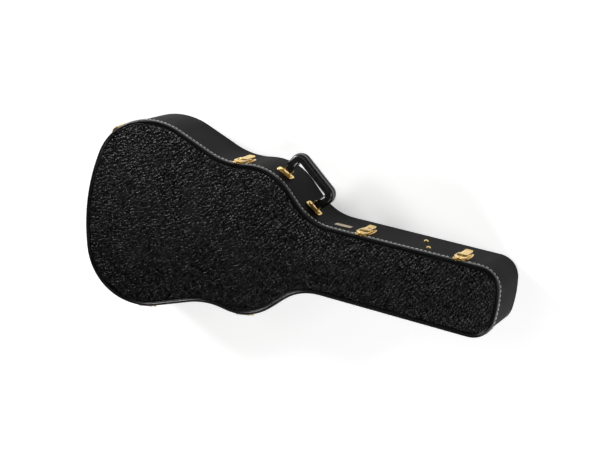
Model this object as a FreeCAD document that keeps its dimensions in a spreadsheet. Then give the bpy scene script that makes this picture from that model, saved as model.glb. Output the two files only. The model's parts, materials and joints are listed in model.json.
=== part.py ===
import FreeCAD, Part
import math
import os

# A hard case for a steel-string guitar, lying closed on its base.
# +X runs to the head end, +Y to the side with the handle and the latches, +Z up to the lid.
# The origin is on the underside, on the centreline, close to mid-length.

V = FreeCAD.Vector
DOC = FreeCAD.newDocument("GuitarCase")
SHEET = DOC.addObject("Spreadsheet::Sheet", "Dims")

DIMENSIONS = [
    # Plan outline of the lid: corners of a polygon and the radius that rounds each one.
    ("butt_x", -546.5, "butt end, on the centreline"), ("butt_radius", 460.0, ""),
    ("shoulder_x", -497.0, "butt shoulder"), ("shoulder_y", 211.5, ""), ("shoulder_radius", 147.0, ""),
    ("lower_x", -353.5, "lower bout"), ("lower_y", 238.2, ""), ("lower_radius", 176.0, ""),
    ("waist_x", -174.5, "waist"), ("waist_y", 171.5, ""), ("waist_radius", 176.0, ""),
    ("upper_x", -56.0, "upper bout"), ("upper_y", 194.5, ""), ("upper_radius", 136.0, ""),
    ("neck_x", 61.5, "neck corner"), ("neck_y", 82.7, ""), ("neck_radius", 124.0, ""),
    ("corner_x", 531.5, "head corner"), ("corner_y", 85.3, ""), ("corner_radius", 54.0, ""),
    ("head_x", 542.3, "head end, on the centreline"), ("head_radius", 297.0, ""),
    # Heights.
    ("case_height", 160.0, "floor to lid face"),
    ("seam_height", 136.0, "where the lid meets the base"),
    ("panel_rise", 151.0, "underside of the lid panel"),
    ("lip_low", 118.0, "foot of the inner lip"), ("lip_high", 145.0, "top of the inner lip"),
    # Build-up of the walls, each measured inward.
    ("base_step", 3.0, "base wall set in from the lid"),
    ("vinyl", 1.2, "covering"), ("ply", 5.0, "board"), ("plush", 2.0, "lining"),
    ("rim_width", 9.5, "padded rim round the lid face"), ("rim_round", 5.0, "its rounded edge"),
    ("face_pad", 3.0, "covering and foam of the lid face"), ("face_drop", 1.0, "face below the rim"),
    ("floor_pad", 6.0, "foam on the floor"), ("lid_pad", 8.0, "foam under the lid"),
    ("body_pad", 22.0, "foam beside the guitar"), ("pad_height", 100.0, "its top"),
    ("thread_height", 148.0, "stitch line"), ("thread", 1.4, "width of the stitch line"),
    ("thread_stand", 0.6, "its height off the lid wall"),
    # Inside the neck section.
    ("box_start", 84.0, "small compartment"), ("box_end", 250.0, ""), ("box_top", 66.0, ""),
    ("box_half_width", 69.5, ""), ("box_board", 5.0, ""), ("box_lid", 4.0, ""),
    ("cradle_start", 292.0, "neck cradle"), ("cradle_end", 354.0, ""), ("cradle_top", 112.0, ""),
    ("cradle_slot", 66.0, "width of its slot"), ("cradle_floor", 76.0, "bottom of its slot"),
    ("head_pad_start", 500.0, "pad at the head end"),
    # Handle.
    ("handle_level", 97.0, "height of the handle pins"),
    ("bracket_rear_x", -44.0, ""), ("bracket_front_x", 41.0, ""),
    ("bracket_length", 44.0, ""), ("bracket_tall", 25.0, ""), ("bracket_plate", 2.5, ""),
    ("rib_length", 38.0, "raised rib of the plate"), ("rib_tall", 10.0, ""), ("rib_high", 3.1, ""),
    ("ear_thick", 2.0, ""), ("ear_radius", 6.0, ""), ("ear_gap", 16.6, "between two ears"),
    ("pin_offset", 15.0, "handle pins out from the wall"), ("pin_radius", 2.5, ""),
    ("grip_reach", 73.4, "outer face of the grip from the wall"), ("grip_thick", 23.0, ""),
    ("grip_wide", 28.0, ""), ("grip_half_length", 72.6, ""), ("leg_wide", 16.0, ""),
    ("grip_corner", 14.0, "corner radius of its middle line"), ("grip_lean", 4.0, "legs lean in"),
    ("grip_round", 8.0, "rounding of its section"),
    ("welt_high", 1.4, "ridge along the grip"), ("welt_wide", 3.0, ""),
    # Latches.
    ("latch_butt_x", -480.0, ""), ("latch_waist_x", -147.0, ""),
    ("latch_neck_x", 186.0, ""), ("latch_head_x", 427.5, ""),
    ("plate_low", 65.0, "latch plate"), ("plate_high", 134.0, ""), ("plate_half", 15.5, ""),
    ("plate_thick", 1.2, ""),
    ("pivot_level", 115.0, "lever pin"), ("pivot_offset", 6.2, ""), ("pivot_radius", 1.25, ""),
    ("lever_half", 10.0, ""), ("lever_inner", 2.8, ""), ("lever_outer", 8.6, ""),
    ("lever_tip", 67.0, ""), ("knuckle", 3.2, ""),
    ("link_level", 104.0, "hinge of the hasp on the lever"), ("link_inner", 5.2, ""),
    ("link_thick", 2.0, ""), ("link_half", 15.4, ""), ("link_slot", 12.4, ""), ("link_top", 154.0, ""),
    ("link_bar", 132.0, "foot of the closed end of the hasp"),
    ("keeper_thick", 1.2, ""), ("keeper_half", 14.5, ""), ("keeper_top", 159.0, ""),
    ("bead_radius", 1.7, "keeper bead"), ("bead_level", 146.0, ""),
    ("key_level", 91.0, "key lock"), ("key_radius", 4.2, ""), ("running", 0.05, "radial clearance"),
    # Hinges.
    ("hinge_offset", 6.4, "hinge pin out from the base wall"), ("hinge_half", 19.0, ""),
    ("hinge_level", 133.0, "just below the seam"),
    ("hinge_knuckle", 2.6, ""), ("hinge_pin", 1.2, ""), ("hinge_gap", 0.4, ""), ("leaf", 1.2, ""),
    ("leaf_low", 104.0, ""), ("leaf_high", 153.5, ""),
    # Small fittings.
    ("rivet_radius", 2.2, ""), ("rivet_high", 1.1, ""), ("stud_radius", 5.6, ""), ("stud_high", 3.4, ""),
    ("badge_x", 124.0, "name plate, left blank"), ("badge_level", 100.0, ""),
    ("badge_long", 41.0, ""), ("badge_tall", 19.0, ""), ("badge_thick", 1.0, ""),
    ("badge_stand", 0.35, "its adhesive pad"),
]

for row, (alias, value, note) in enumerate(DIMENSIONS, start=1):
    SHEET.set("A%d" % row, alias)
    SHEET.set("B%d" % row, str(value))
    SHEET.setAlias("B%d" % row, alias)
    SHEET.set("C%d" % row, note)
DOC.recompute()


def dim(alias):
    """Value of one driving dimension."""
    return float(getattr(SHEET, alias))


def bind(obj, prop, formula):
    """Bind a property to the sheet; names in the formula are aliases."""
    words = formula.replace("(", "( ").replace(")", " )").split()
    names = {alias for alias, _, _ in DIMENSIONS}
    obj.setExpression(prop, " ".join("Dims." + w if w in names else w for w in words))


# ---------------------------------------------------------------- plan outline

def outline_vertices():
    """The rounded polygon, anticlockwise from the butt end; the -Y half mirrors the +Y half."""
    names = ("shoulder", "lower", "waist", "upper", "neck", "corner")
    half = [(dim(n + "_x"), dim(n + "_y"), dim(n + "_radius")) for n in names]
    mirrored = [(x, -y, r) for x, y, r in half]
    head = (dim("head_x"), 0.0, dim("head_radius"))
    return [(dim("butt_x"), 0.0, dim("butt_radius"))] + mirrored + [head] + half[::-1]


def outline_arcs():
    """(start, middle, end, centre, radius, convex) of the arc that rounds each corner."""
    corners = outline_vertices()
    arcs = []
    for i, (x, y, radius) in enumerate(corners):
        here = V(x, y, 0)
        before = V(*corners[i - 1][:2], 0) - here
        after = V(*corners[(i + 1) % len(corners)][:2], 0) - here
        before.normalize()
        after.normalize()
        half_angle = before.getAngle(after) / 2
        inward = (before + after).normalize()
        centre = here + inward * (radius / math.sin(half_angle))
        reach = radius / math.tan(half_angle)
        convex = before.cross(after).z < 0
        arcs.append((here + before * reach, centre - inward * radius, here + after * reach,
                     centre, radius, convex))
    return arcs


def outline_sketch():
    """Closed plan outline of the lid."""
    sketch = DOC.addObject("Sketcher::SketchObject", "PlanOutline")
    arcs = outline_arcs()
    for i, (start, middle, end, _, _, _) in enumerate(arcs):
        sketch.addGeometry(Part.Arc(start, middle, end), False)
        following = arcs[(i + 1) % len(arcs)][0]
        if (following - end).Length > 1e-4:
            sketch.addGeometry(Part.LineSegment(end, following), False)
    return sketch


OUTLINE = outline_sketch()
DOC.recompute()


def wall_at(x, side, inset):
    """Point, outward normal and radius (negative where hollow, 0 where straight) of the wall.

    The wall is the plan outline moved inward by inset, met at one x on one side.
    """
    arcs = outline_arcs()
    best = None
    for i, (start, middle, end, centre, radius, convex) in enumerate(arcs):
        real = radius - inset if convex else radius + inset
        dx = x - centre.x
        if abs(dx) < real:
            rise = math.sqrt(real ** 2 - dx ** 2)
            for y in (centre.y + rise, centre.y - rise):
                normal = V(dx, y - centre.y, 0).normalize() * (1 if convex else -1)
                mid = (middle - centre).normalize()
                span = mid.getAngle((start - centre).normalize())
                arm = V(dx, y - centre.y, 0).normalize()
                if y * side > 0 and arm.getAngle(mid) <= span + 1e-6:
                    best = (V(x, y, 0), normal, real if convex else -real)
        following = arcs[(i + 1) % len(arcs)][0]
        run = following - end
        if run.Length > 1e-4 and min(end.x, following.x) <= x <= max(end.x, following.x):
            normal = V(run.y, -run.x, 0).normalize()
            at = end + run * ((x - end.x) / run.x)
            if at.y * side > 0 and best is None:
                best = (at - normal * inset, normal, 0.0)
    return best


def wall_frame(x, side, inset, half_width=0.0):
    """Placement whose X runs along the wall, Y points outward and Z up.

    On a hollow stretch of wall a flat fitting stands off until its two edges touch.
    """
    point, normal, radius = wall_at(x, side, inset)
    turn = math.degrees(math.atan2(normal.y, normal.x)) - 90
    if radius < 0:
        point = point + normal * (-radius - math.sqrt(radius ** 2 - half_width ** 2))
    return FreeCAD.Placement(point, FreeCAD.Rotation(V(0, 0, 1), turn))


# ---------------------------------------------------------------- building blocks

NODES = []


def node(obj, label):
    """Register an object as a sub-part under its own name."""
    obj.Label = label
    NODES.append(obj)
    return obj


def inset_solid(name, inset, low, high):
    """The plan outline moved inward, raised between two heights."""
    edge = DOC.addObject("Part::Offset2D", name + "Edge")
    edge.Source = OUTLINE
    edge.Join = 0
    edge.Fill = False
    bind(edge, "Value", "0 - ( %s )" % inset)
    solid = DOC.addObject("Part::Extrusion", name)
    solid.Base = edge
    solid.DirMode = "Custom"
    solid.Dir = V(0, 0, 1)
    solid.Solid = True
    bind(solid, "LengthFwd", "( %s ) - ( %s )" % (high, low))
    bind(solid, "Placement.Base.z", low)
    return solid


def cut(name, base, tool):
    part = DOC.addObject("Part::Cut", name)
    part.Base = base
    part.Tool = tool
    return part


def common(name, base, tool):
    part = DOC.addObject("Part::Common", name)
    part.Base = base
    part.Tool = tool
    return part


def fuse(name, shapes):
    part = DOC.addObject("Part::MultiFuse", name)
    part.Shapes = shapes
    return part


def group(name, shapes):
    part = DOC.addObject("Part::Compound", name)
    part.Links = shapes
    return part


def ring(name, outer, inner, low, high):
    """A band that follows the outline between two insets."""
    return cut(name, inset_solid(name + "Outer", outer, low, high),
               inset_solid(name + "Inner", inner, low, high))


def block(name, corner, size):
    """A box from its low corner; corner and size are formulas."""
    part = DOC.addObject("Part::Box", name)
    for axis, formula in zip("xyz", corner):
        bind(part, "Placement.Base." + axis, formula)
    for prop, formula in zip(("Length", "Width", "Height"), size):
        bind(part, prop, formula)
    return part


def rod(name, radius, start, direction, length):
    """A cylinder along one axis; start is a vector."""
    part = DOC.addObject("Part::Cylinder", name)
    bind(part, "Radius", radius)
    bind(part, "Height", length)
    part.Placement = FreeCAD.Placement(start, FreeCAD.Rotation(V(0, 0, 1), direction))
    return part


def half_of(name, solid, side):
    """The half of a solid on one side of the centreline."""
    size = ("1200", "400", "400")
    corner = ("-600", "0", "-50") if side > 0 else ("-600", "-400", "-50")
    return common(name, solid, block(name + "Side", corner, size))


def profile(name, plane, corners):
    """A closed sketch in a local plane: corners are (a, b) or (a, b, rounding radius).

    plane is XZ (seen along the wall's normal), YZ (seen along the wall) or XY (seen from above).
    """
    sketch = DOC.addObject("Sketcher::SketchObject", name)
    turns = {"XY": FreeCAD.Rotation(), "XZ": FreeCAD.Rotation(V(1, 0, 0), 90),
             "YZ": FreeCAD.Rotation(V(1, 1, 1), 120)}
    sketch.Placement = FreeCAD.Placement(V(), turns[plane])
    count = len(corners)
    ends = []
    for i, corner in enumerate(corners):
        here = V(corner[0], corner[1], 0)
        radius = corner[2] if len(corner) > 2 else 0
        if radius == 0:
            ends.append((here, here))
            continue
        before = (V(*corners[i - 1][:2], 0) - here).normalize()
        after = (V(*corners[(i + 1) % count][:2], 0) - here).normalize()
        half_angle = before.getAngle(after) / 2
        reach = radius / math.tan(half_angle)
        inward = (before + after).normalize()
        middle = here + inward * (radius / math.sin(half_angle) - radius)
        start, end = here + before * reach, here + after * reach
        sketch.addGeometry(Part.Arc(start, middle, end), False)
        ends.append((start, end))
    for i, (_, end) in enumerate(ends):
        following = ends[(i + 1) % count][0]
        if (following - end).Length > 1e-4:
            sketch.addGeometry(Part.LineSegment(end, following), False)
    return sketch


def prism(name, plane, corners, start, length):
    """A sketched profile given thickness along its plane's normal, from start."""
    normal = {"XY": V(0, 0, 1), "XZ": V(0, 1, 0), "YZ": V(1, 0, 0)}[plane]
    solid = DOC.addObject("Part::Extrusion", name)
    solid.Base = profile(name + "Profile", plane, corners)
    solid.DirMode = "Custom"
    solid.Dir = normal
    solid.Solid = True
    bind(solid, "LengthFwd", length)
    axis = {"XY": "z", "XZ": "y", "YZ": "x"}[plane]
    bind(solid, "Placement.Base." + axis, start)
    return solid


def placed(name, part, place):
    """Move a part whose own placement is bound to the sheet."""
    holder = group(name, [part])
    holder.Placement = place
    return holder


def dome(name, radius, height, place, at):
    """A low round head that stands on a surface facing local +Y."""
    base, high = dim(radius), dim(height)
    ball = (base ** 2 + high ** 2) / (2 * high)
    low_angle = math.degrees(math.asin((ball - high) / ball))
    part = DOC.addObject("Part::Sphere", name)
    bind(part, "Radius", "( {0} * {0} + {1} * {1} ) / ( 2 * {1} )".format(radius, height))
    part.Angle1 = low_angle
    upright = FreeCAD.Placement(V(), FreeCAD.Rotation(V(1, 0, 0), -90))
    shift = FreeCAD.Placement(at - V(0, ball - high, 0), FreeCAD.Rotation())
    part.Placement = place.multiply(shift).multiply(upright)
    return part


def rounded(name, base, radius, pick):
    """Round the edges of a solid that pick() accepts."""
    DOC.recompute()
    part = DOC.addObject("Part::Fillet", name)
    part.Base = base
    size = dim(radius)
    part.Edges = [(i, size, size) for i, edge in enumerate(base.Shape.Edges, start=1) if pick(edge)]
    return part


# ---------------------------------------------------------------- base

BASE_SKIN = "base_step + vinyl"
BASE_INSIDE = "base_step + vinyl + ply"
LINED = "base_step + vinyl + ply + plush"
FLOOR = "vinyl + ply"


def build_base():
    node(inset_solid("BottomCover", "base_step", "0", "vinyl"), "base_bottom_cover")
    node(inset_solid("BottomPanel", BASE_SKIN, "vinyl", FLOOR), "base_bottom_panel")
    node(ring("SideCover", "base_step", BASE_SKIN, "vinyl", "seam_height"), "base_side_cover")
    for side, tag in ((1, "latch"), (-1, "hinge")):
        wall = ring("Wall" + tag, BASE_SKIN, BASE_INSIDE, FLOOR, "seam_height")
        node(half_of("WallHalf" + tag, wall, side), "base_wall_%s_side" % tag)
        pad = ring("Pad" + tag, LINED, LINED + " + body_pad", FLOOR + " + floor_pad", "pad_height")
        half = half_of("PadHalf" + tag, pad, side)
        body_end = block("PadEnd" + tag, ("-600", "-400", "0"), ("600 + neck_x - body_pad", "800", "200"))
        node(common("BodyPad" + tag, half, body_end), "body_pad_%s_side" % tag)
    node(ring("Lining", BASE_INSIDE, LINED, FLOOR, "lip_low"), "base_lining")
    node(ring("Lip", BASE_INSIDE, LINED, "lip_low", "lip_high"), "base_lip")
    node(inset_solid("FloorPad", LINED, FLOOR, FLOOR + " + floor_pad"), "floor_pad")


def build_neck_section():
    """Compartment walls, neck cradle and head pad, standing on the floor pad."""
    floor = FLOOR + " + floor_pad"
    tall = "box_top - ( %s )" % floor
    width = "2 * box_half_width"
    node(block("BoxBodyWall", ("box_start", "0 - box_half_width", floor), ("box_board", width, tall)),
         "box_wall_body_end")
    node(block("BoxHeadWall", ("box_end - box_board", "0 - box_half_width", floor),
               ("box_board", width, tall)), "box_wall_head_end")
    cradle = block("CradleBlock", ("cradle_start", "0 - box_half_width", floor),
                   ("cradle_end - cradle_start", width, "cradle_top - ( %s )" % floor))
    half, low, high = dim("cradle_slot") / 2, dim("cradle_floor"), dim("cradle_top") + 5
    slot = prism("CradleSlot", "YZ", [(-half, high), (-half, low, 20), (half, low, 20), (half, high)],
                 "cradle_start - 1", "cradle_end - cradle_start + 2")
    node(cut("Cradle", cradle, slot), "neck_cradle")
    end = block("HeadPadSpan", ("head_pad_start", "-200", floor),
                ("100", "400", "pad_height - ( %s )" % floor))
    node(common("HeadPad", inset_solid("HeadPadPlan", LINED, floor, "pad_height"), end), "head_pad")


def build_box_lid():
    """The compartment's lid rests on the two box walls."""
    node(block("BoxLid", ("box_start", "0 - box_half_width + 1", "box_top"),
               ("box_end - box_start", "2 * box_half_width - 2", "box_lid")), "box_lid")
    tab = prism("BoxTab", "YZ", [(dim("box_half_width") - 20, dim("box_top") + dim("box_lid")),
                                 (dim("box_half_width") - 20, dim("box_top") + dim("box_lid") + 1.2),
                                 (dim("box_half_width") - 2, dim("box_top") + dim("box_lid") + 14, 3),
                                 (dim("box_half_width") - 6, dim("box_top") + dim("box_lid"))],
                "( box_start + box_end ) / 2 - 8", "16")
    node(tab, "box_lid_tab")


# ---------------------------------------------------------------- lid

def build_lid():
    node(ring("LidCover", "0", "vinyl", "seam_height", "panel_rise"), "lid_side_cover")
    for side, tag in ((1, "latch"), (-1, "hinge")):
        wall = ring("LidWall" + tag, "vinyl", "vinyl + ply", "seam_height", "panel_rise")
        node(half_of("LidWallHalf" + tag, wall, side), "lid_wall_%s_side" % tag)
    node(ring("LidLining", "vinyl + ply", "vinyl + ply + plush", "seam_height", "panel_rise"), "lid_lining")
    node(inset_solid("LidPanel", "vinyl", "panel_rise", "panel_rise + ply"), "lid_panel")
    node(inset_solid("LidPad", "rim_width + 7", "panel_rise - lid_pad", "panel_rise"), "lid_pad")
    node(inset_solid("LidFace", "rim_width", "panel_rise + ply", "panel_rise + ply + face_pad"),
         "lid_face_cover")
    full = inset_solid("RimBlank", "0", "panel_rise", "case_height")
    DOC.recompute()
    top = dim("case_height")
    smooth = rounded("RimRounded", full, "rim_round",
                     lambda edge: edge.BoundBox.ZMin > top - 0.01)
    hollow = cut("RimOverPanel", smooth, inset_solid("RimSeat", "vinyl", "panel_rise", "panel_rise + ply"))
    node(cut("Rim", hollow, inset_solid("RimInside", "rim_width", "panel_rise + ply", "case_height + 1")),
         "lid_rim")


# ---------------------------------------------------------------- latches

def latch_plate(tag):
    """Wall plate with two ears for the lever pin, in the latch's own frame."""
    low, high, half = dim("plate_low"), dim("plate_high"), dim("plate_half")
    plate = prism("Plate" + tag, "XZ",
                  [(3.5 - half, low, 10), (half - 3.5, low, 10), (half, low + 26, 8), (half, high, 2),
                   (-half, high, 2), (-half, low + 26, 8)], "0", "plate_thick")
    ears = []
    level, out, big = dim("pivot_level"), dim("pivot_offset"), dim("knuckle") + 0.2
    for name, start in (("EarA", "lever_half + running * 8"), ("EarB", "0 - lever_half - running * 8 - 1.5")):
        ears.append(prism(name + tag, "YZ",
                          [(0, level - 6.5), (out, level - big, 1.5), (out + big, level - 2, 2),
                           (out + big, level + 2, 2), (out, level + big, 1.5), (0, level + 6.5)],
                          start, "1.5"))
    body = fuse("PlateBody" + tag, [plate] + ears)
    hole = rod("PlateHole" + tag, "pivot_radius", V(-30, out, level), V(1, 0, 0), "60")
    return cut("LatchPlate" + tag, body, hole)


def latch_lever(tag, keyed):
    """Domed lever hanging from its pin, in the latch's own frame."""
    level, out, big = dim("pivot_level"), dim("pivot_offset"), dim("knuckle")
    inner, outer, tip, half = dim("lever_inner"), dim("lever_outer"), dim("lever_tip"), dim("lever_half")
    side = prism("LeverSide" + tag, "YZ",
                 [(inner, tip + 6, 1), (inner, level, 2), (out - big, level + big, 3.2),
                  (out + big, level + big, 3.2), (out + big, level - 5, 3), (outer, level - 14, 6),
                  (outer, tip + 9, 5), (outer + 1.8, tip + 1, 0.6), (outer + 0.6, tip, 0.6),
                  (inner + 3, tip + 2, 2)], "0 - lever_half", "2 * lever_half")
    front = prism("LeverFront" + tag, "XZ",
                  [(-half, tip, 8), (half, tip, 8), (half, level + big, 0.5), (-half, level + big, 0.5)],
                  "0", "30")
    body = common("LeverBody" + tag, side, front)
    shapes = [rod("LeverBore" + tag, "pivot_radius + running", V(-30, out, level), V(1, 0, 0), "60"),
              rod("LinkBore" + tag, "pivot_radius + running",
                  V(-30, dim("link_inner") + dim("link_thick") / 2, dim("link_level")), V(1, 0, 0), "60")]
    if keyed:
        shapes.append(rod("KeyBore" + tag, "key_radius + running",
                          V(0, dim("lever_inner") + 2, dim("key_level")), V(0, 1, 0), "20"))
    return cut("LatchLever" + tag, body, fuse("LeverBores" + tag, shapes))


def latch_link(tag):
    """Hasp: a flat loop whose two lower ends turn inward into the lever."""
    low, top, half = dim("link_level") - 3.5, dim("link_top"), dim("link_half")
    slot, bar = dim("link_slot"), dim("link_bar")
    outer = prism("LinkOuter" + tag, "XZ",
                  [(-half, low, 1.5), (half, low, 1.5), (half, bar + 4, 9), (6, top, 5), (-6, top, 5),
                   (-half, bar + 4, 9)], "link_inner", "link_thick")
    inner = prism("LinkInner" + tag, "XZ",
                  [(-slot, low - 5), (slot, low - 5), (slot, bar, 8), (-slot, bar, 8)],
                  "link_inner - 1", "link_thick + 2")
    loop = cut("LinkLoop" + tag, outer, inner)
    swell = DOC.addObject("Part::Sphere", "LinkSwell" + tag)
    swell.Radius = 14.0
    face = dim("link_inner") + dim("link_thick")
    swell.Placement = FreeCAD.Placement(V(0, face + 2.6 - 14.0, (bar + top) / 2 + 1), FreeCAD.Rotation())
    crown = common("LinkCrown" + tag, swell, block("LinkCrownSpan" + tag, ("-20", "link_inner", "120"),
                                                   ("40", "12", "60")))
    at = dim("link_inner") + dim("link_thick") / 2
    ends = [rod("LinkEndA" + tag, "pivot_radius", V(slot - 5.2, at, dim("link_level")), V(1, 0, 0), "6.7"),
            rod("LinkEndB" + tag, "pivot_radius", V(-slot + 5.2, at, dim("link_level")), V(-1, 0, 0), "6.7")]
    return fuse("LatchLink" + tag, [loop, crown] + ends)


def latch_keeper(tag):
    """Plate on the lid with a rounded bead that the hasp closes over."""
    low, top, half, step = dim("seam_height") + 0.5, dim("keeper_top"), dim("keeper_half"), dim("base_step")
    plate = prism("KeeperPlate" + tag, "XZ",
                  [(-half, low, 2), (half, low, 2), (half, low + 13, 6), (5, top, 4), (-5, top, 4),
                   (-half, low + 13, 6)], "base_step", "keeper_thick")
    bead = rod("KeeperBead" + tag, "bead_radius", V(-7, step + 0.2, dim("bead_level")), V(1, 0, 0), "14")
    keep = block("KeeperBeadSpan" + tag, ("-20", "base_step", "120"), ("40", "10", "60"))
    return fuse("LatchKeeper" + tag, [plate, common("KeeperBeadTop" + tag, bead, keep)])


def build_latch(tag, keyed):
    """One draw latch: plate and pin on the base, lever and hasp that swing, keeper on the lid."""
    place = wall_frame(dim("latch_%s_x" % tag), 1, dim("base_step"), dim("plate_half"))
    for make, kind in ((latch_plate, "plate"), (latch_link, "hasp"), (latch_keeper, "keeper")):
        part = make(tag.capitalize())
        part.Placement = place
        node(part, "latch_%s_%s" % (tag, kind))
    lever = latch_lever(tag.capitalize(), keyed)
    lever.Placement = place
    node(lever, "latch_%s_lever" % tag)
    along = place.Rotation.multVec(V(1, 0, 0))
    reach = dim("lever_half") + 2.2
    start = place.multVec(V(-reach, dim("pivot_offset"), dim("pivot_level")))
    pin = rod("LatchPin" + tag, "pivot_radius", start, along, "2 * lever_half + 4.4")
    half, low = dim("plate_half"), dim("plate_low")
    heads = [dome("LatchRivet%s%d" % (tag, i), "rivet_radius", "rivet_high", place,
                  V(x, dim("plate_thick"), low + 30)) for i, x in enumerate((3.0 - half, half - 3.0))]
    return pin, heads


def build_key_plug():
    """Key barrel in the lever of the neck latch, with its slot."""
    place = wall_frame(dim("latch_neck_x"), 1, dim("base_step"))
    level, start = dim("key_level"), dim("lever_inner") + 2
    barrel = rod("KeyBarrel", "key_radius", V(0, start, level), V(0, 1, 0), "lever_outer - lever_inner - 1")
    slot = block("KeySlot", ("-0.5", "lever_outer - 0.4", "key_level - 2.6"), ("1", "4", "5.2"))
    plug = cut("KeyPlug", barrel, slot)
    plug.Placement = place
    node(plug, "latch_neck_key_plug")


# ---------------------------------------------------------------- hinges

def hinge_line():
    """Touch points and direction of the straight line that the two -Y bouts rest against."""
    arcs = outline_arcs()
    circles = [arcs[2], arcs[4]]
    (c_low, r_low), (c_up, r_up) = [(a[3], a[4]) for a in circles]
    across = c_up - c_low
    lean = math.asin((r_up - r_low) / across.Length)
    angle = math.atan2(across.y, across.x) - lean
    along = V(math.cos(angle), math.sin(angle), 0)
    outward = V(along.y, -along.x, 0)
    return c_low + outward * r_low, c_up + outward * r_up, along, outward


def hinge_frame(point, outward):
    """Local frame on the base wall: X along the hinge line, Y outward, Z up."""
    turn = math.degrees(math.atan2(outward.y, outward.x)) - 90
    return FreeCAD.Placement(point - outward * dim("base_step"), FreeCAD.Rotation(V(0, 0, 1), turn))


def hinge_leaf(tag, on_lid):
    """One leaf: a plate, and arms to every other knuckle."""
    level, out, big = dim("hinge_level"), dim("hinge_offset"), dim("hinge_knuckle")
    step, leaf = dim("base_step"), dim("leaf")
    length = (2 * dim("hinge_half") + dim("hinge_gap")) / 5
    if on_lid:
        face, slots = step, (1, 3)
        plate = [(-20, level + 5, 1), (20, level + 5, 1), (20, dim("leaf_high"), 4),
                 (-20, dim("leaf_high"), 4)]
        arm = [(face, level + 3.2), (face + 0.4, level + 1), (out, level), (out + big - 0.6, level + 1),
               (face + leaf, level + 6), (face + leaf, level + 12), (face, level + 12)]
    else:
        face, slots = 0.0, (0, 2, 4)
        plate = [(-20, dim("leaf_low"), 4), (20, dim("leaf_low"), 4), (20, level - 5, 1), (-20, level - 5, 1)]
        arm = [(face, level - 12), (leaf, level - 12), (leaf, level - 7), (out + big - 0.8, level - 1.2),
               (out, level), (out - big + 0.2, level), (face, level - 4)]
    shapes = [prism("Leaf" + tag, "XZ", plate, "%s" % face, "leaf")]
    for slot in slots:
        start = -dim("hinge_half") + slot * length
        key = "%s%d" % (tag, slot)
        shapes.append(prism("Arm" + key, "YZ", arm, "%s" % start, "%s - hinge_gap" % length))
        shapes.append(rod("Knuckle" + key, "hinge_knuckle", V(start, out, level), V(1, 0, 0),
                          "%s - hinge_gap" % length))
    bore = rod("Bore" + tag, "hinge_pin + running" if on_lid else "hinge_pin",
               V(-40, out, level), V(1, 0, 0), "80")
    return cut("HingeLeaf" + tag, fuse("HingeBody" + tag, shapes), bore)


def build_hinges():
    low, up, along, outward = hinge_line()
    base_heads, lid_heads = [], []
    for tag, point in (("lower", low), ("upper", up)):
        place = hinge_frame(point, outward)
        for on_lid, kind in ((False, "base"), (True, "lid")):
            leaf = hinge_leaf(tag.capitalize() + kind.capitalize(), on_lid)
            leaf.Placement = place
            node(leaf, "hinge_%s_%s_leaf" % (tag, kind))
        start = place.multVec(V(-dim("hinge_half"), dim("hinge_offset"), dim("hinge_level")))
        local = place.Rotation.multVec(V(1, 0, 0))
        node(rod("HingePin" + tag, "hinge_pin", start, local, "2 * hinge_half"), "hinge_%s_pin" % tag)
        leaf, step = dim("leaf"), dim("base_step")
        for i, x in enumerate((-13, 0, 13)):
            base_heads.append(dome("HingeRivetB%s%d" % (tag, i), "rivet_radius", "rivet_high", place,
                                   V(x, leaf, dim("leaf_low") + (8 if x else 14))))
            if x:
                lid_heads.append(dome("HingeRivetL%s%d" % (tag, i), "rivet_radius", "rivet_high", place,
                                      V(x, step + leaf, dim("leaf_high") - 5)))
    return base_heads, lid_heads


# ---------------------------------------------------------------- handle

def handle_frame():
    """X along the pins from the rear bracket to the front one, Y outward, Z up, midway."""
    rear, front = (wall_at(dim("bracket_%s_x" % end), 1, dim("base_step"))[0] for end in ("rear", "front"))
    chord = front - rear
    turn = math.degrees(math.atan2(chord.y, chord.x))
    middle = (rear + front) * 0.5
    return FreeCAD.Placement(middle, FreeCAD.Rotation(V(0, 0, 1), turn)), chord.Length / 2


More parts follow.
